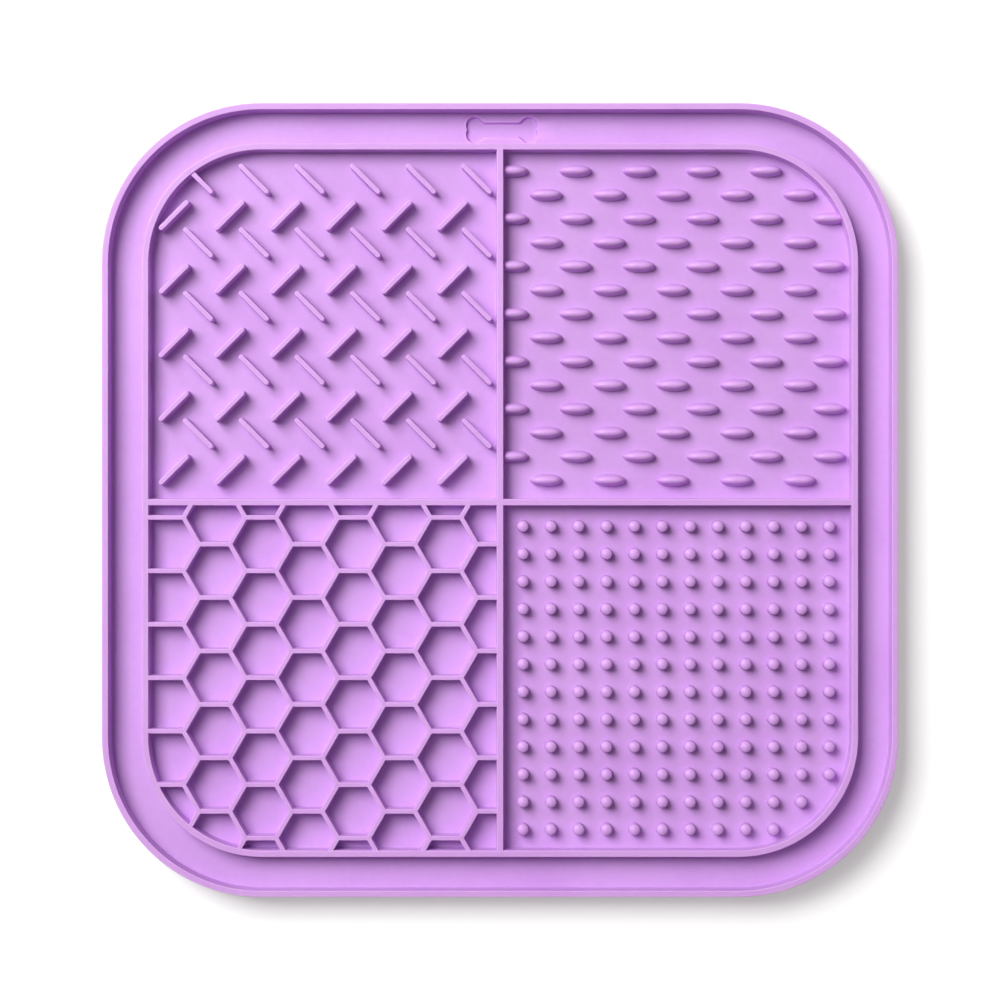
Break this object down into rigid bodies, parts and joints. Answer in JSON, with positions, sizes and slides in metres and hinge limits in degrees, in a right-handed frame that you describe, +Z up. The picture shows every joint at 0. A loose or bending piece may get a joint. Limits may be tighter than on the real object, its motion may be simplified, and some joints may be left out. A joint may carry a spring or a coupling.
{
  "type": "lick mat",
  "caption": "Square silicone lick mat with rounded corners, a rim and spill channel round four fields of ribs, oval nubs, honeycomb and round nubs, and suction cups underneath.",
  "frame": {"origin": "under the middle of the mat, on the plane that the suction cups stand on", "axes": "+Z up out of the fields, +Y towards the side with the bone mark, +X to the right of it"},
  "size_m": [0.2, 0.1994, 0.01],
  "materials": {
    "lilac_silicone": "matt moulded silicone rubber, dyed through"
  },
  "bodies": {
    "root": {"backing_sheet": "lilac_silicone", "outer_rim_quarter_1": "lilac_silicone", "outer_rim_quarter_2": "lilac_silicone", "outer_rim_quarter_3": "lilac_silicone", "outer_rim_quarter_4": "lilac_silicone", "inner_rim": "lilac_silicone", "centre_wall": "lilac_silicone", "left_cross_wall": "lilac_silicone", "right_cross_wall": "lilac_silicone", "falling_ribs_row_1": "lilac_silicone", "falling_ribs_row_2": "lilac_silicone", "falling_ribs_row_3": "lilac_silicone", "falling_ribs_row_4": "lilac_silicone", "falling_ribs_row_5": "lilac_silicone", "rising_ribs_row_1": "lilac_silicone", "rising_ribs_row_2": "lilac_silicone", "rising_ribs_row_3": "lilac_silicone", "rising_ribs_row_4": "lilac_silicone", "rising_ribs_row_5": "lilac_silicone", "oval_nubs_row_01": "lilac_silicone", "oval_nubs_row_02": "lilac_silicone", "oval_nubs_row_03": "lilac_silicone", "oval_nubs_row_04": "lilac_silicone", "oval_nubs_row_05": "lilac_silicone", "oval_nubs_row_06": "lilac_silicone", "oval_nubs_row_07": "lilac_silicone", "oval_nubs_row_08": "lilac_silicone", "oval_nubs_row_09": "lilac_silicone", "oval_nubs_row_10": "lilac_silicone", "oval_nubs_row_11": "lilac_silicone", "oval_nubs_row_12": "lilac_silicone", "oval_nubs_row_13": "lilac_silicone", "oval_nubs_row_14": "lilac_silicone", "comb_level_walls": "lilac_silicone", "comb_rising_walls": "lilac_silicone", "comb_falling_walls": "lilac_silicone", "round_nubs_row_01": "lilac_silicone", "round_nubs_row_02": "lilac_silicone", "round_nubs_row_03": "lilac_silicone", "round_nubs_row_04": "lilac_silicone", "round_nubs_row_05": "lilac_silicone", "round_nubs_row_06": "lilac_silicone", "round_nubs_row_07": "lilac_silicone", "round_nubs_row_08": "lilac_silicone", "round_nubs_row_09": "lilac_silicone", "round_nubs_row_10": "lilac_silicone", "round_nubs_row_11": "lilac_silicone", "round_nubs_row_12": "lilac_silicone", "suction_cups_row_1": "lilac_silicone", "suction_cups_row_2": "lilac_silicone", "suction_cups_row_3": "lilac_silicone", "suction_cups_row_4": "lilac_silicone", "suction_cups_row_5": "lilac_silicone"}
  },
  "joints": []
}
